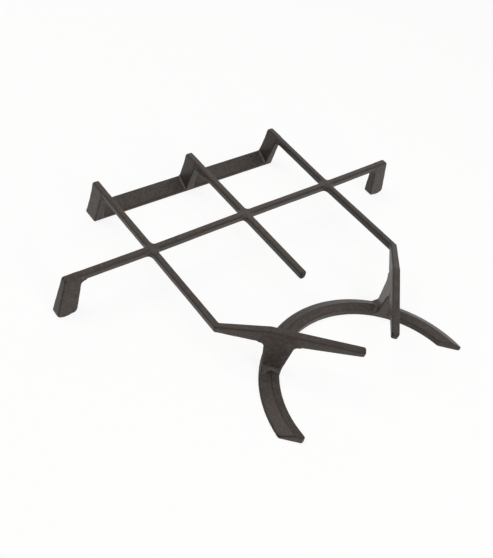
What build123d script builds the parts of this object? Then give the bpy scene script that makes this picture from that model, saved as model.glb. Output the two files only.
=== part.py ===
"""Gas hob grate: one iron casting that carries pans over a small burner and half of a large one.

X runs along the cross bar, +Y towards the back rail and +Z up; the feet stand on Z = 0.
Lengths are in millimetres. The drawing starts under the middle crossing, and the finished
casting is moved so that the origin is the middle of its footprint.
"""
import os
from math import atan2, cos, degrees, radians, sin

from build123d import *

os.makedirs("parts", exist_ok=True)

# Section of the bars
bar_width = 5.3
side_bar_width = 4.8
bar_draft = 1.4
bar_depth = 5.9
edge_radius = 0.9

# Plan of the bars, measured from the middle crossing
bar_spacing = 89.7
back_spread = 1.0
back_reach = 83.9
middle_reach = 76.2
bend_reach = 86.1
cross_reach = 162.3
crossing_radius = 2.8

# Heights of the top plane
bar_top = 36.0
side_dip = 0.7

# Back legs and the low rail that joins them
leg_depth = 13.9
leg_splay = 6.3
leg_flare = 1.0
leg_base_depth = 14.4
leg_base_width = 7.9
rail_back_height = 9.1
rail_front_height = 3.0
rail_back_lean = 2.6

# Feet at the ends of the cross bar
foot_width = 12.6
foot_splay = 6.5
foot_base_width = 15.6
foot_base_thickness = 8.3
foot_corner = 1.8
pad_width = 6.5
pad_height = 0.8

# Half ring, whose ends are both cut off on the same slant
ring_centre_reach = 175.1
ring_offset = 1.6
ring_outer_radius = 90.1
ring_width = 14.2
ring_slope_width = 7.9
ring_lip_height = 2.0
ring_crest_height = 6.5
ring_inner_height = 5.3
left_scarf = 81.6
right_scarf = 84.3
ring_tip_radius = 1.7

# Raised fingers over the half ring; the kink sits above the ring's outer wall
finger_width = 5.6
finger_kink_inset = 0.9
finger_kink_top = 44.3
finger_kink_depth = 13.0
finger_tip_radius = 21.1
finger_tip_top = 44.6
finger_tip_depth = 5.3

# Webs that carry the fingers down to the ring, placed from the ring's two walls
web_top_overhang = 1.1
web_base_inset = 1.6
web_heel = 6.3
web_base_heel = 0.0
web_base_width = 6.8
web_collar_height = 1.0

# Radii of the hollow corners and of the outer corners at the ends of the bars
hollow_radius = 3.8
corner_radius = 1.8

# Values that follow from the ones above
bar_underside = bar_top - bar_depth
ring_rise = ring_centre_reach - bend_reach
ring_inner_radius = ring_outer_radius - ring_width
ring_crest_radius = ring_outer_radius - ring_slope_width
finger_bearing = -degrees(atan2(ring_rise, bar_spacing))
mitre_bearing = (finger_bearing - 90) / 2
mitre_stretch = 1 / cos(radians(finger_bearing - mitre_bearing))
back_spacing = bar_spacing + back_spread
rail_back = back_reach + leg_splay
rail_front = rail_back - leg_base_depth
kink_radius = ring_outer_radius - finger_kink_inset
web_collar_top = ring_crest_height + web_collar_height
web_outer_top = ring_outer_radius + web_top_overhang
web_outer_base = ring_outer_radius - web_base_inset
web_inner_top = ring_inner_radius - web_heel
web_inner_base = ring_inner_radius - web_base_heel


def bar_section(x, y, top, bearing, width=bar_width, depth=bar_depth):
    """Upright section across a bar that runs along a bearing: rounded above, drafted below."""
    along = (cos(radians(bearing)), sin(radians(bearing)), 0)
    across = (-along[1], along[0], 0)
    with BuildSketch(Plane(origin=(x, y, top), x_dir=across, z_dir=along)) as section:
        with BuildLine():
            Polyline(
                (-width / 2, 0),
                (width / 2, 0),
                ((width - bar_draft) / 2, -depth),
                ((bar_draft - width) / 2, -depth),
                close=True,
            )
        make_face()
        fillet(section.vertices().group_by(Axis.Y)[-1], edge_radius)
    return section.sketch


def blunt_end(x, y, top, bearing, width=bar_width, depth=bar_depth):
    """Smaller section that closes the free end of a bar with a bevel all round."""
    return bar_section(x, y, top - edge_radius, bearing, width - edge_radius, depth - 1.5 * edge_radius)


def on_finger(radius):
    """Point of the left finger's centre line at a distance from the burner's axis."""
    bearing = radians(finger_bearing)
    return -radius * cos(bearing), -ring_centre_reach - radius * sin(bearing)


def round_corner(sketch, near, radius):
    """Round the corner of a sketch that lies nearest to a point of its plane."""
    fillet(sketch.vertices().sort_by_distance((*near, 0))[0], radius)


def tapered_plate(outline, plane, top_width, base_width, top, rounding=edge_radius):
    """Plate with an outline on its upright plane, and a thickness that grows from top to base."""
    reach = 2 * (outline.bounding_box().size.X + outline.bounding_box().size.Y)
    middle = outline.bounding_box().center().X
    with BuildPart() as plate:
        extrude(plane * outline, amount=base_width, both=True)
        origin = plane.from_local_coords((middle, 0, 0))
        edge_on = Plane(origin=origin, x_dir=plane.z_dir, z_dir=-plane.x_dir)
        with BuildSketch(edge_on) as thickness:
            with BuildLine():
                Polyline(
                    (-top_width / 2, top),
                    (top_width / 2, top),
                    (base_width / 2, 0),
                    (-base_width / 2, 0),
                    close=True,
                )
            make_face()
            fillet(thickness.vertices().group_by(Axis.Y)[-1], rounding)
        extrude(amount=reach, both=True, mode=Mode.INTERSECT)
    return plate.part


# Back leg: its outline leans out towards the back and stands on the rail
with BuildSketch() as leg_outline:
    with BuildLine():
        ThreePointArc(
            (back_reach, bar_top),
            (back_reach + leg_splay / 2 - leg_flare, bar_top / 2),
            (rail_back, 0),
        )
        Polyline(
            (rail_back, 0),
            (rail_front, 0),
            (back_reach - leg_depth, bar_underside),
            (back_reach - leg_depth - 1.2 * hollow_radius, bar_underside),
            (back_reach - leg_depth, bar_underside + edge_radius),
            (back_reach - leg_depth, bar_top),
            (back_reach, bar_top),
        )
    make_face()
    round_corner(leg_outline, (back_reach, bar_top), corner_radius)
    round_corner(leg_outline, (back_reach - leg_depth, bar_underside), hollow_radius)

# Foot: splayed outwards, with its lower corners cut off above a small pad
foot_outer = cross_reach + foot_splay
foot_inner = foot_outer - foot_base_width
pad_middle = foot_outer - foot_base_width / 2 + edge_radius
with BuildSketch() as foot_outline:
    with BuildLine():
        Polyline(
            (cross_reach, bar_top),
            (foot_outer, pad_height + foot_corner),
            (foot_outer - foot_corner, pad_height),
            (pad_middle + pad_width / 2, pad_height),
            (pad_middle + pad_width / 2 - pad_height / 2, 0),
            (pad_middle - pad_width / 2 + pad_height / 2, 0),
            (pad_middle - pad_width / 2, pad_height),
            (foot_inner + foot_corner, pad_height),
            (foot_inner, pad_height + foot_corner),
            (cross_reach - foot_width, bar_underside),
            (cross_reach - foot_width - 1.2 * hollow_radius, bar_underside),
            (cross_reach - foot_width, bar_underside + edge_radius),
            (cross_reach - foot_width, bar_top),
            close=True,
        )
    make_face()
    round_corner(foot_outline, (cross_reach, bar_top), corner_radius)
    round_corner(foot_outline, (cross_reach - foot_width, bar_underside), hollow_radius)


def web_outline(side):
    """Outline of the web on one side (-1 left, 1 right); its foot follows the ring, its top the finger."""
    shift = side * ring_offset * cos(radians(finger_bearing))
    kink_base = finger_kink_top - finger_kink_depth
    slope = (finger_tip_top - finger_tip_depth - kink_base) / (kink_radius - finger_tip_radius)
    inner_base = kink_base + slope * (kink_radius - web_inner_top)
    run = 1.2 * hollow_radius
    with BuildSketch() as outline:
        with BuildLine():
            Polyline(
                (web_outer_top + run, kink_base),
                (web_outer_top, kink_base),
                (web_outer_base + shift, 0),
                (web_inner_base + shift, 0),
                (web_inner_top, inner_base),
                (web_inner_top - run, inner_base + run * slope),
                (web_inner_top, finger_kink_top - 2 * edge_radius),
                (web_outer_top, finger_kink_top - 2 * edge_radius),
                close=True,
            )
        make_face()
        round_corner(outline, (web_outer_top, kink_base), hollow_radius)
        round_corner(outline, (web_inner_top, inner_base), hollow_radius)
    return outline.sketch


def web_plane(side):
    """Upright plane along the finger on one side, with its origin on the burner's axis."""
    bearing = radians(finger_bearing)
    return Plane(
        origin=(0, -ring_centre_reach, 0),
        x_dir=(side * cos(bearing), -sin(bearing), 0),
        z_dir=(-sin(bearing), -side * cos(bearing), 0),
    )


def web_collar(side):
    """Skirt that widens from the web on to the ring, over the foot of the web's outline."""
    with BuildSketch() as foot:
        add(web_outline(side))
        Rectangle(4 * ring_outer_radius, 2 * web_collar_top, mode=Mode.INTERSECT)
    return tapered_plate(
        foot.sketch, web_plane(side), web_base_width, web_base_width + 2 * web_collar_top, web_collar_top, edge_radius / 2
    )


with BuildPart() as left_side:
    # Side bar and finger in one run: level bar, mitred bend, ramp up to the kink, blunt tip
    tip_x, tip_y = on_finger(finger_tip_radius)
    tip_shoulder = on_finger(finger_tip_radius + edge_radius)
    kink_x, kink_y = on_finger(kink_radius)
    loft(
        [
            bar_section(-back_spacing, back_reach - corner_radius, bar_top, -90, side_bar_width),
            bar_section(-bar_spacing, 0, bar_top - side_dip, -90, side_bar_width),
            bar_section(-bar_spacing, -bend_reach, bar_top, mitre_bearing, side_bar_width * mitre_stretch),
            bar_section(kink_x, kink_y, finger_kink_top, finger_bearing, finger_width, finger_kink_depth),
            bar_section(*tip_shoulder, finger_tip_top, finger_bearing, finger_width, finger_tip_depth),
            blunt_end(tip_x, tip_y, finger_tip_top, finger_bearing, finger_width, finger_tip_depth),
        ],
        ruled=True,
    )
    leg_plane = Plane.YZ.offset(-back_spacing)
    add(tapered_plate(leg_outline.sketch, leg_plane, side_bar_width, leg_base_width, bar_top))
    foot_plane = Plane((0, 0, 0), (-1, 0, 0), (0, 1, 0))
    add(tapered_plate(foot_outline.sketch, foot_plane, bar_width, foot_base_thickness, bar_top))

with BuildPart() as ring:
    # Plan of the ring, cut off on the slant with rounded tips
    with BuildSketch(Plane((ring_offset, -ring_centre_reach, 0))) as ring_plan:
        Circle(ring_outer_radius)
        Circle(ring_inner_radius, mode=Mode.SUBTRACT)
        with BuildLine():
            Polyline(
                (-left_scarf - 2 * ring_width, 2 * ring_width),
                (-left_scarf + ring_width, -ring_width),
                (right_scarf - 1.5 * ring_width, 1.5 * ring_width),
                (right_scarf + 2 * ring_width, -2 * ring_width),
                (right_scarf + 2 * ring_width, -2 * ring_outer_radius),
                (-left_scarf - 2 * ring_width, -2 * ring_outer_radius),
                close=True,
            )
        make_face(mode=Mode.SUBTRACT)
        fillet(ring_plan.vertices(), ring_tip_radius)
    extrude(amount=ring_crest_height)
    # Everything above the sloping top is turned away about the burner's axis
    with BuildSketch(Plane((ring_offset, -ring_centre_reach, 0), (1, 0, 0), (0, -1, 0))):
        with BuildLine():
            Polyline(
                (ring_outer_radius, ring_lip_height),
                (ring_crest_radius, ring_crest_height),
                (ring_inner_radius, ring_inner_height),
                (ring_inner_radius - ring_width, ring_inner_height),
                (ring_inner_radius - ring_width, 2 * ring_crest_height),
                (ring_outer_radius + ring_width, 2 * ring_crest_height),
                (ring_outer_radius + ring_width, ring_lip_height),
                close=True,
            )
        make_face()
    revolve(axis=Axis((ring_offset, -ring_centre_reach, 0), (0, 0, 1)), mode=Mode.SUBTRACT)

with BuildPart() as casting:
    add(left_side.part)
    mirror(about=Plane.YZ)
    # Cross bar in one run over the three crossings
    loft(
        [
            bar_section(corner_radius - cross_reach, 0, bar_top, 0),
            bar_section(-bar_spacing, 0, bar_top - side_dip, 0),
            bar_section(0, 0, bar_top, 0),
            bar_section(bar_spacing, 0, bar_top - side_dip, 0),
            bar_section(cross_reach - corner_radius, 0, bar_top, 0),
        ],
        ruled=True,
    )
    # Middle bar with its free front end, its leg, and the rail
    loft(
        [
            bar_section(0, back_reach - corner_radius, bar_top, -90),
            bar_section(0, -middle_reach + edge_radius, bar_top, -90),
            blunt_end(0, -middle_reach, bar_top, -90),
        ],
        ruled=True,
    )
    add(tapered_plate(leg_outline.sketch, Plane.YZ, bar_width, leg_base_width, bar_top))
    with BuildSketch(Plane.YZ.offset(-back_spacing)):
        with BuildLine():
            Polyline(
                (rail_back, 0),
                (rail_back - rail_back_lean, rail_back_height),
                (rail_front, rail_front_height),
                (rail_front, 0),
                close=True,
            )
        make_face()
    extrude(amount=2 * back_spacing)
    # Ring, with the webs that stand on it
    add(ring.part)
    for side in (-1, 1):
        add(tapered_plate(web_outline(side), web_plane(side), finger_width, web_base_width, finger_kink_top))
        add(web_collar(side))
    # Rounded hollows in the corners of the crossings
    for x in (-bar_spacing, 0, bar_spacing):
        knot_top = bar_top - side_dip * abs(x) / bar_spacing - edge_radius / 3
        bite = edge_radius / 4
        with BuildSketch(Plane.XY.offset(knot_top)):
            with Locations((x, 0)):
                Rectangle(bar_width + 2 * crossing_radius - bite, bar_width + 2 * crossing_radius - bite)
                with GridLocations(
                    bar_width + 2 * crossing_radius - bite, bar_width + 2 * crossing_radius - bite, 2, 2
                ):
                    Circle(crossing_radius, mode=Mode.SUBTRACT)
        extrude(amount=-bar_depth + edge_radius)

with BuildPart() as grate:
    footprint = casting.part.bounding_box().center()
    with Locations((-footprint.X, -footprint.Y, 0)):
        add(casting.part)

grate.part.label = "grate"
export_step(grate.part, "parts/grate.step")
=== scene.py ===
"""Studio picture of a cast hob grate: the casting with its skin, a pale floor and soft light."""
import logging
import math
from dataclasses import dataclass, field
from enum import Enum
from typing import Any

import bpy
from mathutils import Matrix, Vector


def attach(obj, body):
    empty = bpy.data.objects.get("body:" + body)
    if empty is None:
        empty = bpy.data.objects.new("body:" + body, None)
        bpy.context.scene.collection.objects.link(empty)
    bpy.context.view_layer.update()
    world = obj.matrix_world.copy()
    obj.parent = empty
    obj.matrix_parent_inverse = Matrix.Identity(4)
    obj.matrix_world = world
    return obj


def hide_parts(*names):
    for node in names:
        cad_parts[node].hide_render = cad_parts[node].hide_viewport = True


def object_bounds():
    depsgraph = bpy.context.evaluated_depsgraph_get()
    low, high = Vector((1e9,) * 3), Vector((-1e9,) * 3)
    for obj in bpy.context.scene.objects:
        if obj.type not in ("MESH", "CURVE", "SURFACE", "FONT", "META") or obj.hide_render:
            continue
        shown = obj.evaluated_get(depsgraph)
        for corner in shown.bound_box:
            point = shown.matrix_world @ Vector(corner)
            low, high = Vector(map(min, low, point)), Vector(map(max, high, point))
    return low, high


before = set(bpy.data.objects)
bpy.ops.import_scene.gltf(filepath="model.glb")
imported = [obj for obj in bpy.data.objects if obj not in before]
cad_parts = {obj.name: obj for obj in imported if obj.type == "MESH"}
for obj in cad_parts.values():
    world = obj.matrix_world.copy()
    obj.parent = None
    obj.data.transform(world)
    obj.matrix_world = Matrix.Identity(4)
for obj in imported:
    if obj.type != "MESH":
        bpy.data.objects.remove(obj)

LOG = logging.getLogger("grate")
CAD_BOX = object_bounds()
MM = 0.001
NOISE_MEAN = 0.5
EDGE_MARK = "edge"
Colour = tuple[float, float, float]
WHITE: Colour = (1.0, 1.0, 1.0)
WARM: Colour = (1.0, 0.92, 0.80)
COOL: Colour = (0.87, 0.96, 1.0)


def opaque(colour: Colour) -> tuple[float, float, float, float]:
    """Gives a colour in the form that a shader's socket takes, with nothing seen through it."""
    return (*colour, 1.0)


class Noise(Enum):
    """Marks that sand and coating leave on the iron."""

    SAND = (1500.0, 2.0)
    PITS = (430.0, 3.0)
    FLOW = (120.0, 2.0)
    CLOUD = (14.0, 1.0)

    def __init__(self, scale: float, detail: float) -> None:
        """Names the two numbers of a member.

        Args:
            scale: Marks per metre.
            detail: Layers of finer marks.
        """
        self.scale = scale
        self.detail = detail


class Socket:
    """Output of a node, with arithmetic that adds Math nodes."""

    def __init__(self, graph: "Graph", link: bpy.types.NodeSocket | None) -> None:
        """Wraps one output.

        Args:
            graph: The graph that the socket belongs to.
            link: The node's output socket, or None for a node that has none.
        """
        self.graph = graph
        self.link = link

    def _math(self, operation: str, first: Any, second: Any) -> "Socket":
        """Adds one Math node.

        Args:
            operation: Name of the Math node's operation.
            first: Socket or number for the first input.
            second: Socket or number for the second input.

        Returns:
            The node's output.
        """
        return self.graph.node("ShaderNodeMath", {"operation": operation}, {0: first, 1: second})

    def __add__(self, other: Any) -> "Socket":
        """Sum of two values."""
        return self._math("ADD", self, other)

    def __radd__(self, other: Any) -> "Socket":
        """Sum with a number on the left."""
        return self._math("ADD", other, self)

    def __sub__(self, other: Any) -> "Socket":
        """Difference of two values."""
        return self._math("SUBTRACT", self, other)

    def __rsub__(self, other: Any) -> "Socket":
        """Difference from a number on the left."""
        return self._math("SUBTRACT", other, self)

    def __mul__(self, other: Any) -> "Socket":
        """Product of two values."""
        return self._math("MULTIPLY", self, other)

    def __rmul__(self, other: Any) -> "Socket":
        """Product with a number on the left."""
        return self._math("MULTIPLY", other, self)

    def __truediv__(self, other: Any) -> "Socket":
        """Quotient of two values."""
        return self._math("DIVIDE", self, other)

    def __rtruediv__(self, other: Any) -> "Socket":
        """Quotient with a number on the left."""
        return self._math("DIVIDE", other, self)

    def clamped(self) -> "Socket":
        """Value held between 0 and 1."""
        return self.graph.node("ShaderNodeClamp", {}, {"Value": self})


class Graph:
    """Node tree of a material, of the world or of a Geometry Nodes modifier."""

    def __init__(self, tree: bpy.types.NodeTree) -> None:
        """Takes over a tree and empties it.

        Args:
            tree: The tree.
        """
        self.tree = tree
        tree.nodes.clear()

    def takes(self, name: str, kind: str) -> Socket:
        """Adds a named input to a geometry tree.

        Args:
            name: The input's name.
            kind: End of the socket's type, such as "Float".

        Returns:
            The input, as a node inside the tree gives it.
        """
        self.tree.interface.new_socket(name, in_out="INPUT", socket_type=f"NodeSocket{kind}")
        start = self.tree.nodes.get("start")
        if start is None:
            start = self.tree.nodes.new("NodeGroupInput")
            start.name = "start"
        return Socket(self, start.outputs[name])

    def gives(self, shape: Socket) -> None:
        """Makes a socket the geometry tree's result.

        Args:
            shape: The finished geometry.
        """
        result = "Geometry"
        self.tree.interface.new_socket(result, in_out="OUTPUT", socket_type="NodeSocketGeometry")
        self.node("NodeGroupOutput", {}, {result: shape})

    def node(
        self, kind: str, settings: dict[str, Any], inputs: dict[Any, Any], output: Any = 0
    ) -> Socket:
        """Adds a node.

        Args:
            kind: The node's type.
            settings: Attributes of the node, set first.
            inputs: Values or sockets, by the name or number of the node's input.
            output: Name or number of the output wanted.

        Returns:
            The output, or the first one.
        """
        new = self.tree.nodes.new(kind)
        for name, value in settings.items():
            setattr(new, name, value)
        for name, value in inputs.items():
            if isinstance(value, Socket):
                self.tree.links.new(value.link, new.inputs[name])
            else:
                new.inputs[name].default_value = value
        return Socket(self, new.outputs[output] if len(new.outputs) else None)

    def vector(self, operation: str, first: Any, second: Any, output: Any = 0) -> Socket:
        """Adds a Vector Math node.

        Args:
            operation: Name of the node's operation.
            first: Socket or vector for the first input.
            second: Socket or vector for the second input.
            output: Name or number of the output wanted.

        Returns:
            The output, or the first one.
        """
        settings = {"operation": operation}
        return self.node("ShaderNodeVectorMath", settings, {0: first, 1: second}, output)

    def mixed(self, share: Socket, first: Any, second: Any) -> Socket:
        """Mixes two colours.

        Args:
            share: How much of the second colour is taken.
            first: Socket or colour.
            second: Socket or colour.

        Returns:
            The mixed colour.
        """
        inputs = {"Factor": share, 6: first, 7: second}
        return self.node("ShaderNodeMix", {"data_type": "RGBA"}, inputs, 2)


@dataclass(frozen=True)
class CastSkin:
    """Dark satin coat over sand-cast iron, with painted shade as dark lines on the arrises and a
    painted highlight as light lines in the hollows.
    """

    name: str = "iron"
    base: Colour = (0.0303, 0.0249, 0.0232)
    pale: Colour = (0.0828, 0.0682, 0.0633)
    middle_tone: float = 0.45
    pits_tone: float = 2.0
    flow_tone: float = 0.6
    cloud_tone: float = 0.4
    roughness: float = 0.42
    roughness_swing: float = 0.16
    specular: float = 0.27
    specular_tint: Colour = (1.0, 0.88, 0.78)
    sand_height: float = 0.035 * MM
    pit_height: float = 0.10 * MM
    # Painted shade: dark colour laid on the arrises as dark lines.
    edge_shade_colour: Colour = (0.010, 0.0088, 0.0082)
    # Painted highlight: light colour laid in the hollows as light lines.
    hollow_highlight: Colour = (0.172, 0.146, 0.138)
    # Gain, break and threshold of the painted shade on the arrises.
    edge_shade_gain: float = 1.1
    edge_shade_break: float = 0.4
    least_edge: float = 0.28
    edge_roughness: float = 0.15
    # Gain and threshold of the painted highlight in the hollows.
    hollow_highlight_gain: float = 0.30
    least_hollow: float = 0.15
    seed: float = 3.7

    def material(self) -> bpy.types.Material:
        """Builds the material.

        Returns:
            The finished material.
        """
        made = bpy.data.materials.new(self.name)
        made.use_nodes = True
        graph = Graph(made.node_tree)
        place = graph.node("ShaderNodeTexCoord", {}, {}, "Object")
        sand, pits, flow, cloud = (self._noise(graph, place, noise) for noise in Noise)
        edge = graph.node("ShaderNodeAttribute", {"attribute_name": EDGE_MARK}, {}, "Fac")
        # Painted shade: mask of dark lines along the arrises, broken up by the pits noise.
        edge_shade = edge * self.edge_shade_gain + (pits - NOISE_MEAN) * self.edge_shade_break - self.least_edge
        edge_shade = edge_shade.clamped()
        rough = (flow + pits - 2 * NOISE_MEAN) * self.roughness_swing
        # The relief is in metres already, so Bump takes it as it is.
        relief = sand * self.sand_height + pits * self.pit_height
        bump = {"Strength": 1.0, "Distance": 1.0, "Height": relief}
        shader = graph.node(
            "ShaderNodeBsdfPrincipled",
            {},
            {
                "Base Color": self._colour(graph, pits, flow, cloud, edge, edge_shade),
                "Roughness": rough + edge_shade * self.edge_roughness + self.roughness,
                "Specular IOR Level": self.specular,
                "Specular Tint": opaque(self.specular_tint),
                "Normal": graph.node("ShaderNodeBump", {}, bump, "Normal"),
            },
        )
        graph.node("ShaderNodeOutputMaterial", {}, {"Surface": shader})
        return made

    def _colour(
        self, graph: Graph, pits: Socket, flow: Socket, cloud: Socket, edge: Socket, edge_shade: Socket
    ) -> Socket:
        """Mixes the coat's two tones, then a painted highlight in the hollows, then painted shade
        on the arrises.

        Args:
            graph: The material's graph.
            pits: Noise of the pits.
            flow: Noise of the coat's flow.
            cloud: Noise of slow changes of tone.
            edge: The mesh's mark, above 0 on arrises and below 0 in hollows.
            edge_shade: Share of painted shade on the arrises.

        Returns:
            The skin's colour.
        """
        tone = (
            (pits - NOISE_MEAN) * self.pits_tone
            + (flow - NOISE_MEAN) * self.flow_tone
            + (cloud - NOISE_MEAN) * self.cloud_tone
            + self.middle_tone
        ).clamped()
        coat = graph.mixed(tone, opaque(self.base), opaque(self.pale))
        # Painted highlight: light lines in the hollows, where the edge mark is below 0.
        highlight_share = (edge * -self.hollow_highlight_gain - self.least_hollow).clamped()
        highlighted_coat = graph.mixed(highlight_share, coat, opaque(self.hollow_highlight))
        # Painted shade: dark lines on the arrises, laid over the coat.
        return graph.mixed(edge_shade, highlighted_coat, opaque(self.edge_shade_colour))

    def _noise(self, graph: Graph, place: Socket, noise: Noise) -> Socket:
        """Adds one noise, moved to its own part of the pattern.

        Args:
            graph: The material's graph.
            place: Object coordinates.
            noise: Kind of marks.

        Returns:
            Noise between 0 and 1.
        """
        return graph.node(
            "ShaderNodeTexNoise",
            {"noise_dimensions": "4D"},
            {
                "Vector": place,
                "W": self.seed + noise.scale,
                "Scale": noise.scale,
                "Detail": noise.detail,
            },
        )


@dataclass
class Casting:
    """The grate's single casting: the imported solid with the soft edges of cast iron."""

    node: str = "grate"
    piece: str = "cast_grate"
    weld: float = 0.01 * MM
    voxel: float = 0.45 * MM
    fillet: float = 0.6 * MM
    soft_steps: int = 4
    coat: float = 0.34 * MM
    wave_height: float = 0.10 * MM
    wave_scale: float = 55.0
    edge_steps: int = 6
    edge_height: float = 0.10 * MM
    seed: float = 11.0
    triangles: int = 190_000
    skin: CastSkin = field(default_factory=CastSkin)

    def build(self) -> bpy.types.Object:
        """Makes the casting and puts it on its body.

        Returns:
            The finished piece.
        """
        pattern = self._pattern()
        self._mould(pattern)
        mesh = self._baked(pattern)
        self._thin(pattern, mesh)
        piece = bpy.data.objects.new(self.piece, self._baked(pattern))
        bpy.context.scene.collection.objects.link(piece)
        bpy.data.objects.remove(pattern)
        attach(piece, "root")
        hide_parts(self.node)
        return piece

    def _pattern(self) -> bpy.types.Object:
        """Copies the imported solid.

        Returns:
            An object that carries the copy.
        """
        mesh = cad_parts[self.node].data.copy()
        pattern = bpy.data.objects.new("pattern", mesh)
        bpy.context.scene.collection.objects.link(pattern)
        return pattern

    def _mould(self, pattern: bpy.types.Object) -> None:
        """Adds the modifiers that turn the sharp solid into a soft casting.

        The copy swells and shrinks again by one step, which leaves a fillet in every hollow.

        Args:
            pattern: The copy of the solid.
        """
        weld = pattern.modifiers.new("weld", "WELD")
        weld.merge_threshold = self.weld
        for name, step in (("swell", self.fillet), ("shrink", -self.fillet)):
            remesh = pattern.modifiers.new("sand mould", "REMESH")
            remesh.mode = "VOXEL"
            remesh.voxel_size = self.voxel
            move = pattern.modifiers.new(name, "DISPLACE")
            move.strength = step
            move.mid_level = 0.0
        settle = pattern.modifiers.new("settle", "NODES")
        settle.node_group = self._cast_tree()
        lowest, highest = CAD_BOX
        values = {
            "Soft steps": self.soft_steps,
            "Coat": self.coat,
            "Wave height": self.wave_height,
            "Wave scale": self.wave_scale,
            "Edge steps": self.edge_steps,
            "Edge height": self.edge_height,
            "Seed": self.seed,
            "Lowest corner": tuple(lowest),
            "Highest corner": tuple(highest),
            "Skin": self.skin.material(),
        }
        for item in settle.node_group.interface.items_tree:
            if item.name in values:
                settle[item.identifier] = values[item.name]

    @classmethod
    def _cast_tree(cls) -> bpy.types.NodeTree:
        """Builds the tree that softens the edges and adds the coat and a sand mould's unevenness.

        Returns:
            The tree, with named inputs.
        """
        tree = bpy.data.node_groups.new("cast skin", "GeometryNodeTree")
        graph = Graph(tree)
        shape = graph.takes("Geometry", "Geometry")
        steps = graph.takes("Soft steps", "Int")
        coat = graph.takes("Coat", "Float")
        wave_height = graph.takes("Wave height", "Float")
        wave_scale = graph.takes("Wave scale", "Float")
        edge_steps = graph.takes("Edge steps", "Int")
        edge_height = graph.takes("Edge height", "Float")
        seed = graph.takes("Seed", "Float")
        lowest = graph.takes("Lowest corner", "Vector")
        highest = graph.takes("Highest corner", "Vector")
        skin = graph.takes("Skin", "Material")
        place = graph.node("GeometryNodeInputPosition", {}, {})
        normal = graph.node("GeometryNodeInputNormal", {}, {})
        bulge = graph.vector(
            "DOT_PRODUCT",
            graph.vector("SUBTRACT", place, cls._averaged(graph, place, edge_steps)),
            normal,
            "Value",
        )
        shape = graph.node(
            "GeometryNodeStoreNamedAttribute",
            {"data_type": "FLOAT", "domain": "POINT"},
            {"Geometry": shape, "Name": EDGE_MARK, "Value": bulge / edge_height},
        )
        soft = cls._averaged(graph, place, steps)
        shape = graph.node(
            "GeometryNodeSetPosition", {}, {"Geometry": shape, "Position": soft}
        )
        wave = graph.node(
            "ShaderNodeTexNoise", {"noise_dimensions": "4D"}, {"Scale": wave_scale, "W": seed}
        )
        rise = (wave - NOISE_MEAN) * wave_height + coat
        push = graph.node(
            "ShaderNodeVectorMath", {"operation": "SCALE"}, {0: normal, "Scale": rise}
        )
        above = graph.vector("MAXIMUM", graph.vector("ADD", place, push), lowest)
        inside = graph.vector("MINIMUM", above, highest)
        shape = graph.node(
            "GeometryNodeSetPosition", {}, {"Geometry": shape, "Position": inside}
        )
        shape = graph.node("GeometryNodeSetShadeSmooth", {}, {"Geometry": shape})
        shape = graph.node("GeometryNodeRealizeInstances", {}, {"Geometry": shape})
        shape = graph.node(
            "GeometryNodeSetMaterial", {}, {"Geometry": shape, "Material": skin}
        )
        graph.gives(shape)
        return tree

    @staticmethod
    def _averaged(graph: Graph, place: Socket, steps: Socket) -> Socket:
        """Averages each point's place with its neighbours' places.

        Args:
            graph: The geometry tree's graph.
            place: The points' places.
            steps: How often they are averaged.

        Returns:
            The averaged places.
        """
        return graph.node(
            "GeometryNodeBlurAttribute",
            {"data_type": "FLOAT_VECTOR"},
            {"Value": place, "Iterations": steps},
        )

    @staticmethod
    def _baked(pattern: bpy.types.Object) -> bpy.types.Mesh:
        """Turns the modified copy into a plain mesh.

        Args:
            pattern: The copy with its modifiers.

        Returns:
            The plain mesh.
        """
        graph = bpy.context.evaluated_depsgraph_get()
        mesh = bpy.data.meshes.new_from_object(pattern.evaluated_get(graph))
        pattern.modifiers.clear()
        return mesh

    def _thin(self, pattern: bpy.types.Object, mesh: bpy.types.Mesh) -> None:
        """Merges triangles where the casting is flat, down to the wanted number.

        Args:
            pattern: The object that carries the mesh from here on.
            mesh: The moulded mesh, all of quads, which are two triangles each.
        """
        pattern.data = mesh
        thin = pattern.modifiers.new("thin", "DECIMATE")
        thin.ratio = min(1.0, self.triangles / (2 * len(mesh.polygons)))


def sky_direction(azimuth: float, elevation: float) -> Vector:
    """Gives the direction towards a place on the sky.

    Args:
        azimuth: Degrees from the grate's front, growing towards its right side.
        elevation: Degrees above the floor.

    Returns:
        The direction, one long.
    """
    turn, lift = math.radians(azimuth), math.radians(elevation)
    flat = math.cos(lift)
    return Vector((math.sin(turn) * flat, -math.cos(turn) * flat, math.sin(lift)))


@dataclass(frozen=True)
class Softbox:
    """One square area lamp, hung at a place on the sky that is given in degrees."""

    name: str
    azimuth: float
    elevation: float
    power: float
    colour: Colour = (1.0, 0.97, 0.94)
    distance: float = 2.0
    size: float = 1.1

    def hang(self) -> None:
        """Makes the lamp and points it at the origin."""
        lamp = bpy.data.lights.new(self.name, "AREA")
        lamp.shape = "SQUARE"
        lamp.size = self.size
        lamp.energy = self.power
        lamp.color = self.colour
        holder = bpy.data.objects.new(self.name, lamp)
        bpy.context.scene.collection.objects.link(holder)
        away = sky_direction(self.azimuth, self.elevation)
        holder.location = away * self.distance
        holder.rotation_euler = (-away).to_track_quat("-Z", "Y").to_euler()


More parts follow.
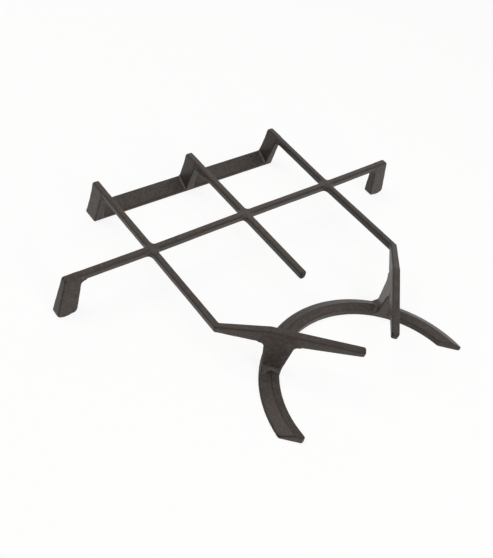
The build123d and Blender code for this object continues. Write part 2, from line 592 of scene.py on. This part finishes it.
@dataclass
class Studio:
    """Pale floor, white surroundings and a ring of soft lamps."""

    floor_half: float = 4.0
    floor_paint: Colour = (0.9, 0.9, 0.9)
    floor_cover: float = 0.80
    floor_glow: float = 1.08
    lamps: tuple[Softbox, ...] = (
        Softbox("zenith", azimuth=0.0, elevation=90.0, power=3.5),
        Softbox("front high", azimuth=0.0, elevation=60.0, power=8.5, colour=COOL),
        Softbox("front low", azimuth=0.0, elevation=15.0, power=18.0, colour=WARM),
        Softbox("right high", azimuth=90.0, elevation=60.0, power=1.6),
        Softbox("right back", azimuth=135.0, elevation=40.0, power=2.6),
        Softbox("back low", azimuth=180.0, elevation=15.0, power=2.2),
        Softbox("left back high", azimuth=225.0, elevation=60.0, power=13.3),
    )

    def build(self) -> None:
        """Makes the floor, the world and the lamps."""
        self._floor()
        self._world()
        for lamp in self.lamps:
            lamp.hang()

    @staticmethod
    def _seen(graph: Graph) -> Socket:
        """Tells the rays that show the surroundings from those that light the object.

        Args:
            graph: The graph of the floor or of the world.

        Returns:
            1 for camera, mirrored and passed-through rays, else 0.
        """
        kinds = ("Is Camera Ray", "Is Glossy Ray", "Is Transmission Ray")
        camera, glossy, passed = (
            graph.node("ShaderNodeLightPath", {}, {}, kind) for kind in kinds
        )
        return (camera + glossy + passed).clamped()

    def _floor(self) -> None:
        """Lays a flat pale floor at the level that the grate stands on."""
        half = self.floor_half
        corners = [(-half, -half, 0), (half, -half, 0), (half, half, 0), (-half, half, 0)]
        mesh = bpy.data.meshes.new("floor")
        mesh.from_pydata(corners, [], [(0, 1, 2, 3)])
        floor = bpy.data.objects.new("floor", mesh)
        bpy.context.scene.collection.objects.link(floor)
        material = bpy.data.materials.new("pale floor")
        material.use_nodes = True
        graph = Graph(material.node_tree)
        matt = graph.node("ShaderNodeBsdfDiffuse", {}, {"Color": opaque(self.floor_paint)})
        glow = graph.node(
            "ShaderNodeEmission", {}, {"Color": opaque(WHITE), "Strength": self.floor_glow}
        )
        cover = self._seen(graph) * self.floor_cover
        mixed = graph.node("ShaderNodeMixShader", {}, {0: cover, 1: matt, 2: glow})
        graph.node("ShaderNodeOutputMaterial", {}, {"Surface": mixed})
        mesh.materials.append(material)

    def _world(self) -> None:
        """Makes the surroundings white to the eye, and dark as a light."""
        world = bpy.data.worlds.new("studio")
        bpy.context.scene.world = world
        world.use_nodes = True
        graph = Graph(world.node_tree)
        glow = graph.node(
            "ShaderNodeBackground", {}, {"Color": opaque(WHITE), "Strength": self._seen(graph)}
        )
        graph.node("ShaderNodeOutputWorld", {}, {"Surface": glow})


@dataclass
class Viewpoint:
    """Camera of the photograph, given by the angles that it looks from."""

    azimuth: float = -47.19
    elevation: float = 45.51
    roll: float = -14.58
    distance: float = 595.9 * MM
    target: tuple[float, float, float] = (-31.22 * MM, -4.15 * MM, 17.91 * MM)
    lens: float = 49.36
    sensor: float = 36.0
    nearest: float = 10.0 * MM

    def build(self) -> None:
        """Makes the camera and hands it to the scene."""
        roll = math.radians(self.roll)
        back = sky_direction(self.azimuth, self.elevation)
        right = back.cross(Vector((0, 0, -1))).normalized()
        down = (-back).cross(right)
        right_rolled = math.cos(roll) * right + math.sin(roll) * down
        down_rolled = math.cos(roll) * down - math.sin(roll) * right
        axes = Matrix((right_rolled, -down_rolled, back)).transposed()
        place = Matrix.Translation(Vector(self.target) + back * self.distance)
        data = bpy.data.cameras.new("photo view")
        data.lens = self.lens
        data.sensor_width = self.sensor
        data.clip_start = self.nearest
        camera = bpy.data.objects.new("photo view", data)
        bpy.context.scene.collection.objects.link(camera)
        camera.matrix_world = place @ axes.to_4x4()
        bpy.context.scene.camera = camera


def main() -> None:
    """Builds the casting, the studio and the camera in order."""
    logging.basicConfig(level=logging.INFO, format="%(name)s: %(message)s")
    piece = Casting().build()
    LOG.info("%s: %d faces", piece.name, len(piece.data.polygons))
    Studio().build()
    LOG.info("studio: floor, world and lamps")
    Viewpoint().build()
    LOG.info("camera: photograph's view")
    view = bpy.context.scene.view_settings
    view.view_transform = "Standard"


if __name__ == "__main__":
    main()
